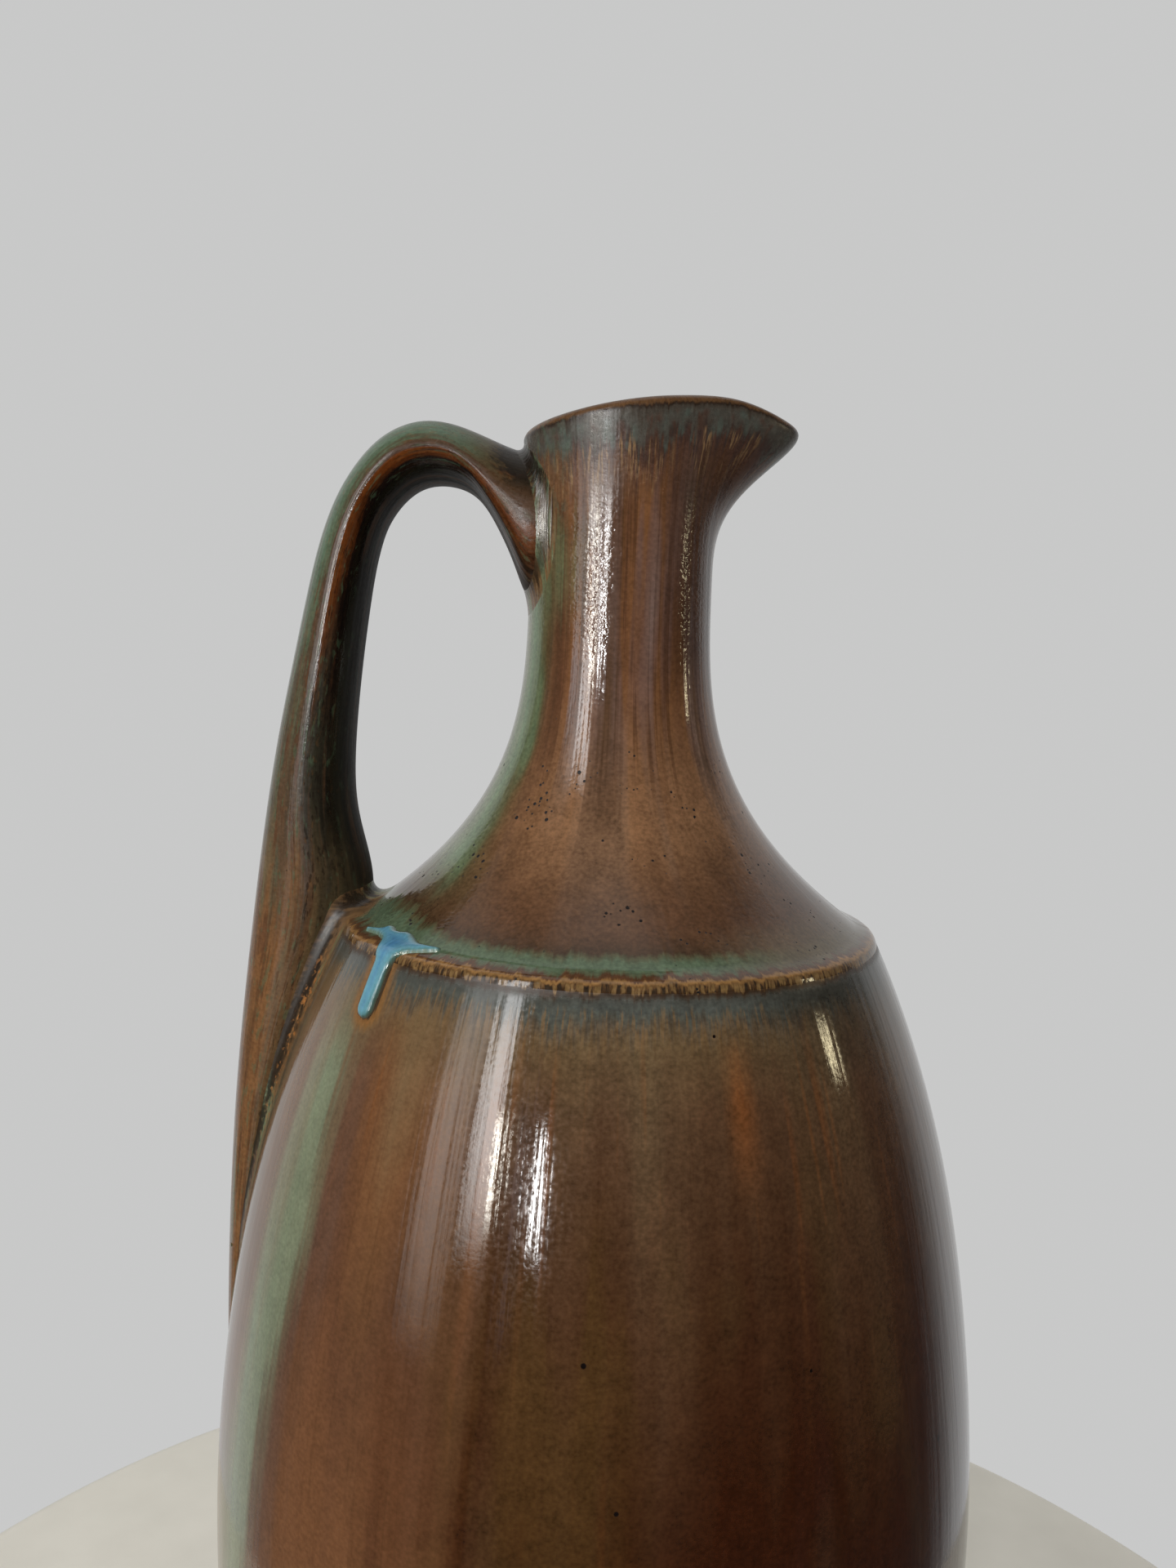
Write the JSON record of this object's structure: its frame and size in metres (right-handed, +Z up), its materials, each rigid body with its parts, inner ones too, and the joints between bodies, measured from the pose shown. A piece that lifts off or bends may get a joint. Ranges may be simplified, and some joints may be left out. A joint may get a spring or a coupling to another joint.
{
  "type": "ewer",
  "caption": "Tall glazed stoneware ewer with an ovoid body, flared neck, pulled pouring lip and looped strap handle, for holding and pouring liquids.",
  "frame": {"origin": "centre of the foot on the table", "axes": "+Z up along the axis of the body, +X towards the pouring lip, the handle on -X"},
  "size_m": [0.1589, 0.158, 0.3509],
  "materials": {
    "body_glaze": "glossy streaked red-brown glaze",
    "bare_clay": "bare fired clay",
    "neck_glaze": "glossy streaked brown glaze",
    "lip_glaze": "glossy slate and brown glaze",
    "handle_glaze": "glossy green-brown glaze",
    "luting_glaze": "glossy green-brown glaze",
    "run_glaze": "glossy thick blue glaze"
  },
  "bodies": {
    "root": {"body": "body_glaze", "foot_ring": "bare_clay", "neck": "neck_glaze", "pouring_lip": "lip_glaze", "handle": "handle_glaze", "upper_luting": "luting_glaze", "lower_luting": "luting_glaze", "glaze_run": "run_glaze"}
  },
  "joints": []
}
